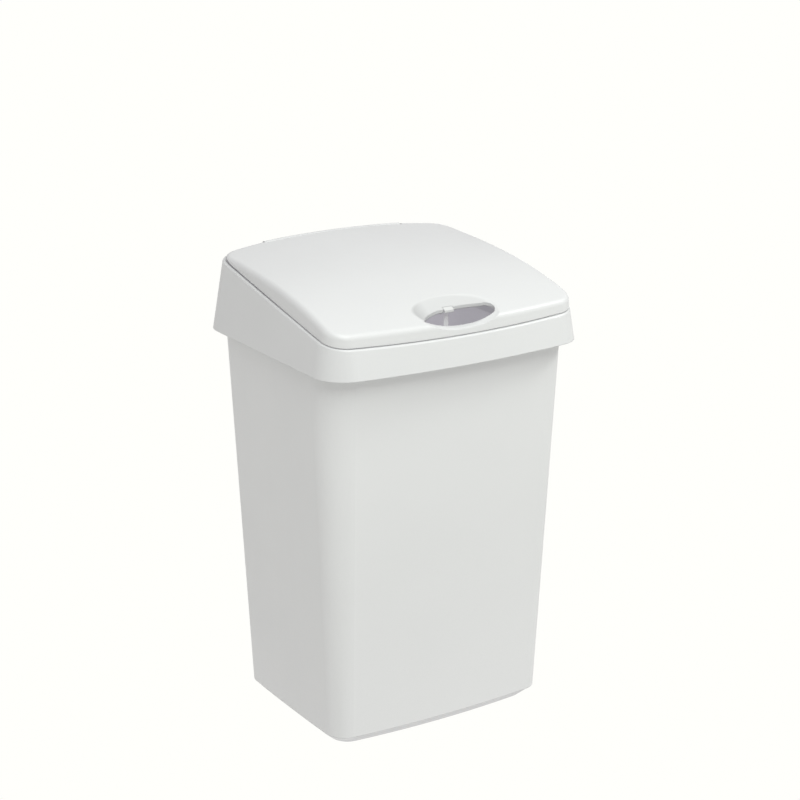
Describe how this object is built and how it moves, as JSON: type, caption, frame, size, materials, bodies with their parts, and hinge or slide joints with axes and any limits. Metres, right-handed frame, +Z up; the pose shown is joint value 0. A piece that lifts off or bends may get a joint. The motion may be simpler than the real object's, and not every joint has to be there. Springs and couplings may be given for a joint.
{
  "type": "lift-lid waste bin",
  "caption": "Tapered rounded-rectangle waste bin with a sloping collar and a domed rear-hinged lid that has a finger scoop with a drop-shaped opening and a catch tongue.",
  "frame": {"origin": "centre of the underside, on the floor", "axes": "+Z up, -Y towards the front with the finger scoop, +X to the right for a viewer who faces the front"},
  "size_m": [0.38, 0.352, 0.6112],
  "materials": {
    "bucket_white": "fine satin moulded polypropylene",
    "lid_white": "smooth satin moulded polypropylene",
    "pin_white": "smooth moulded pin",
    "catch_white": "smooth moulded tongue"
  },
  "bodies": {
    "bucket": {"bucket": "bucket_white"},
    "frame": {"lid_frame": "lid_white", "hinge_pin_left": "pin_white", "hinge_pin_right": "pin_white"},
    "lid": {"lid_flap": "lid_white"},
    "catch": {"catch_tongue": "catch_white"}
  },
  "joints": [
    {"name": "frame_lift", "type": "slide", "parent": "bucket", "child": "frame", "axis": [0, 0, 1], "range_m": [0, 0.12]},
    {"name": "lid_hinge", "type": "hinge", "parent": "frame", "child": "lid", "pos_m": [0, 0.15, 0.603], "axis": [-1, 0, 0], "range_deg": [0, 100]},
    {"name": "catch_flex", "type": "hinge", "parent": "lid", "child": "catch", "pos_m": [0, -0.1235, 0.561], "axis": [1, 0, 0], "range_deg": [0, 6], "stiffness_Nm_per_rad": 0.05}
  ]
}
